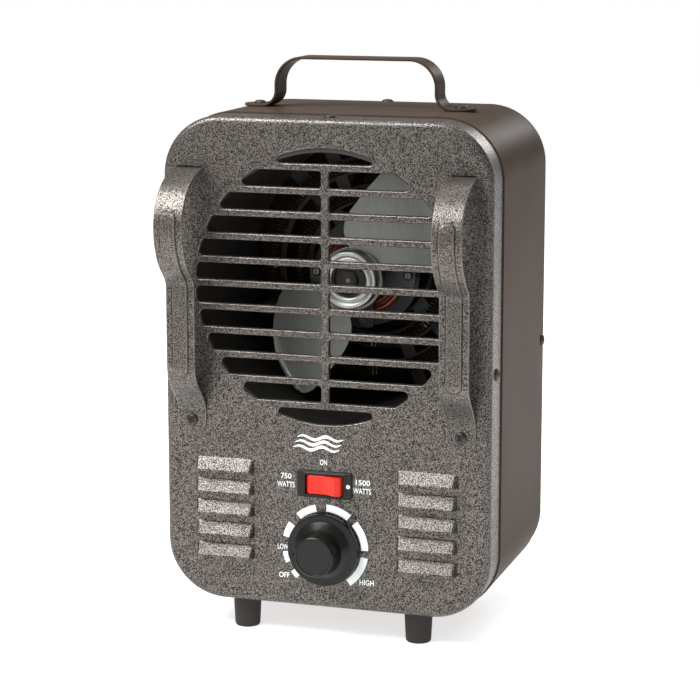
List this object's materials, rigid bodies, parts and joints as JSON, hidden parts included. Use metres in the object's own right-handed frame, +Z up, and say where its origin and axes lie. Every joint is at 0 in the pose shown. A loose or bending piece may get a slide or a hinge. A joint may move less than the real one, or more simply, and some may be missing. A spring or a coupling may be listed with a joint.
{
  "type": "electric fan heater",
  "caption": "Portable fan heater: metal case, round barred grille with guard bars, strap handle, rocker switch, thermostat knob, louvers and rubber feet.",
  "frame": {"origin": "on the surface under the feet, at the middle of the heater's overall width and depth", "axes": "+Z up, the front grille faces -Y, +X to the right seen from the front"},
  "size_m": [0.2004, 0.172, 0.3354],
  "materials": {
    "hammered_paint": "hammertone grey-brown stove enamel",
    "case_paint": "satin dark brown-grey powder coat",
    "dark_screw": "blackened steel",
    "zinc_steel": "bright zinc plate",
    "galvanised": "galvanised sheet",
    "duct_black": "matt black heat-proof paint",
    "foot_rubber": "moulded rubber",
    "black_plastic": "fine moulded texture",
    "red_plastic": "translucent red, satin",
    "white_print": "screen-printed ink",
    "brass": "turned brass",
    "fan_aluminium": "dull rolled sheet",
    "hub_steel": "bright drawn steel cup",
    "lamination_steel": "stacked silicon steel",
    "enamelled_copper": "varnished copper winding",
    "resistance_wire": "oxidised nickel-chromium wire",
    "ceramic": "fired steatite",
    "mica": "mica board"
  },
  "bodies": {
    "heater": {"front_panel": "hammered_paint", "left_guard_bar": "hammered_paint", "right_guard_bar": "hammered_paint", "case_sleeve": "case_paint", "rear_cover": "case_paint", "carry_handle": "case_paint", "guard_bar_screws": "dark_screw", "handle_screws": "dark_screw", "front_panel_screws": "dark_screw", "rear_cover_screws": "dark_screw", "front_left_foot": "foot_rubber", "front_right_foot": "foot_rubber", "rear_left_foot": "foot_rubber", "rear_right_foot": "foot_rubber", "foot_screws": "zinc_steel", "switch_housing": "black_plastic", "switch_terminals": "brass", "thermostat_bushing": "zinc_steel", "thermostat_nut": "zinc_steel", "thermostat_body": "ceramic", "thermostat_terminals": "brass", "air_duct": "duct_black", "duct_rivets": "dark_screw", "motor_spider": "galvanised", "spider_screws": "zinc_steel", "motor_stator": "lamination_steel", "motor_winding": "enamelled_copper", "motor_front_bracket": "galvanised", "motor_rear_bracket": "galvanised", "front_bearing": "brass", "rear_bearing": "brass", "motor_bolts": "zinc_steel", "heater_ring": "mica", "inner_heating_coil": "resistance_wire", "outer_heating_coil": "resistance_wire", "coil_insulators": "ceramic", "heat_shield": "galvanised", "thermal_cutoff": "black_plastic", "thermal_fuse": "ceramic", "tip_switch_body": "black_plastic", "tip_switch_pin": "zinc_steel", "terminal_block": "ceramic", "cord_gland": "black_plastic"},
    "rotor": {"fan_hub": "hub_steel", "fan_blades": "fan_aluminium", "fan_nut": "brass", "motor_shaft": "zinc_steel", "motor_rotor": "lamination_steel"},
    "knob": {"control_knob": "black_plastic", "thermostat_shaft": "zinc_steel"},
    "rocker": {"rocker_button": "red_plastic"},
    "pendulum": {"tip_pendulum": "zinc_steel"}
  },
  "joints": [
    {"name": "fan_spin", "type": "hinge", "parent": "heater", "child": "rotor", "pos_m": [0, 0.007, 0.2057], "axis": [0, 1, 0], "continuous": true},
    {"name": "knob_turn", "type": "hinge", "parent": "heater", "child": "knob", "pos_m": [0, -0.049, 0.0547], "axis": [0, 1, 0], "range_deg": [-30, 246]},
    {"name": "rocker_tilt", "type": "hinge", "parent": "heater", "child": "rocker", "pos_m": [0, -0.04917, 0.0927], "axis": [0, 0, 1], "range_deg": [0, 20]},
    {"name": "tip_swing", "type": "hinge", "parent": "heater", "child": "pendulum", "pos_m": [-0.048, 0.0285, 0.0524], "axis": [1, 0, 0], "range_deg": [-15, 15]}
  ]
}
